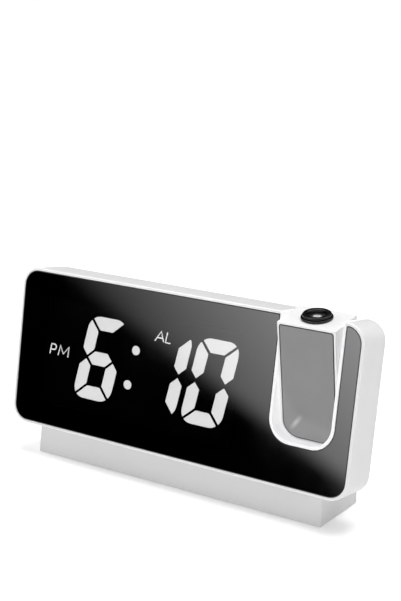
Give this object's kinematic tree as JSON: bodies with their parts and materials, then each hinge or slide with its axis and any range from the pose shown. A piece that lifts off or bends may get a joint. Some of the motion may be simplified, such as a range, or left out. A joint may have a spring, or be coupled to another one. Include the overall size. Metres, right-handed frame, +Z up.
{
  "type": "projection alarm clock",
  "caption": "Projection alarm clock: leaning one-way mirror case with glowing digits on a plinth, and a tilting projector arm with focus ring in a slot.",
  "frame": {"origin": "on the table, under the middle of the clock's bounding box", "axes": "+X to the clock's right as seen from the front, +Y to the back (the mirror faces -Y), +Z up"},
  "size_m": [0.185, 0.041, 0.0944],
  "materials": {
    "white_case": "satin white moulding",
    "button_white": "satin",
    "mirror": "dark one-way mirror, polished",
    "arm_mirror": "grey mirror, polished",
    "light_guide": "translucent, lit white",
    "black_plastic": "matt",
    "lens_black": "satin black",
    "circuit_board": "solder mask",
    "steel": "plated",
    "brass": "plain",
    "rubber": "matt",
    "lead": "satin",
    "glass": "polished",
    "red_led": "clear red resin"
  },
  "bodies": {
    "case": {"front_housing": "white_case", "rear_cover": "white_case", "mirror_panel": "mirror", "segment_reflector": "black_plastic", "lit_segments": "light_guide", "indicator_guides": "light_guide", "main_board": "circuit_board", "segment_leds": "light_guide", "controller_chip": "black_plastic", "clock_crystal": "steel", "buzzer": "black_plastic", "lead_socket": "white_case", "button_board": "circuit_board", "board_header": "brass", "tact_switches": "black_plastic", "power_board": "circuit_board", "usb_socket": "steel", "usb_tongue": "black_plastic", "board_screws": "steel", "coin_cell": "steel", "battery_contacts": "brass", "case_screws": "steel", "arm_cradle": "white_case", "cradle_screws": "steel", "friction_washers": "brass", "base_shell": "white_case", "base_bottom": "white_case", "ballast_plate": "steel", "rubber_feet": "rubber", "base_screws": "steel", "stand_screws": "steel", "body_lead": "lead", "power_lead": "lead"},
    "arm": {"arm_housing": "white_case", "arm_back_cover": "white_case", "arm_mirror": "arm_mirror", "arm_screws": "steel", "left_pivot": "steel", "right_pivot": "steel", "retaining_ring": "steel", "stop_cam": "steel", "lens_bezel": "lens_black", "optics_tube": "black_plastic", "condenser_lens": "glass", "lcd_slide": "glass", "projector_board": "circuit_board", "projector_led": "red_led", "arm_lead": "lead"},
    "focus_ring": {"focus_ring": "lens_black"},
    "lens_cell": {"lens_cell": "lens_black", "projection_lens": "glass"},
    "battery_cap": {"battery_cap": "white_case"},
    "mode_button": {"mode_button": "button_white"},
    "alarm_button": {"alarm_button": "button_white"},
    "up_button": {"up_button": "button_white"},
    "down_button": {"down_button": "button_white"},
    "light_button": {"light_button": "button_white"},
    "projector_button": {"projector_button": "button_white"}
  },
  "joints": [
    {"name": "arm_tilt", "type": "hinge", "parent": "case", "child": "arm", "pos_m": [0.0674, -0.00308, 0.06918], "axis": [1, 0, 0], "range_deg": [-107.4, 72.6]},
    {"name": "focus_turn", "type": "hinge", "parent": "arm", "child": "focus_ring", "pos_m": [0.0674, -0.00709, 0.09214], "axis": [0, -0.1719, 0.9851], "range_deg": [-60, 60]},
    {"name": "lens_travel", "type": "slide", "parent": "arm", "child": "lens_cell", "axis": [0, -0.1719, 0.9851], "range_m": [-0.0008, 0.0008]},
    {"name": "battery_cap_turn", "type": "hinge", "parent": "case", "child": "battery_cap", "pos_m": [0.02155, 0.00549, 0.04466], "axis": [0, 0.9914, -0.1305], "range_deg": [0, 45]},
    {"name": "mode_press", "type": "slide", "parent": "case", "child": "mode_button", "axis": [0, -0.9914, 0.1305], "range_m": [0, 0.0006], "stiffness_N_per_m": 800},
    {"name": "alarm_press", "type": "slide", "parent": "case", "child": "alarm_button", "axis": [0, -0.9914, 0.1305], "range_m": [0, 0.0006], "stiffness_N_per_m": 800},
    {"name": "up_press", "type": "slide", "parent": "case", "child": "up_button", "axis": [0, -0.9914, 0.1305], "range_m": [0, 0.0006], "stiffness_N_per_m": 800},
    {"name": "down_press", "type": "slide", "parent": "case", "child": "down_button", "axis": [0, -0.9914, 0.1305], "range_m": [0, 0.0006], "stiffness_N_per_m": 800},
    {"name": "light_press", "type": "slide", "parent": "case", "child": "light_button", "axis": [0, -0.9914, 0.1305], "range_m": [0, 0.0006], "stiffness_N_per_m": 800},
    {"name": "projector_press", "type": "slide", "parent": "case", "child": "projector_button", "axis": [0, -0.9914, 0.1305], "range_m": [0, 0.0006], "stiffness_N_per_m": 800}
  ],
  "couplings": [
    {"joint": "focus_turn", "follows": "lens_travel", "rad_per_m": 1309}
  ]
}
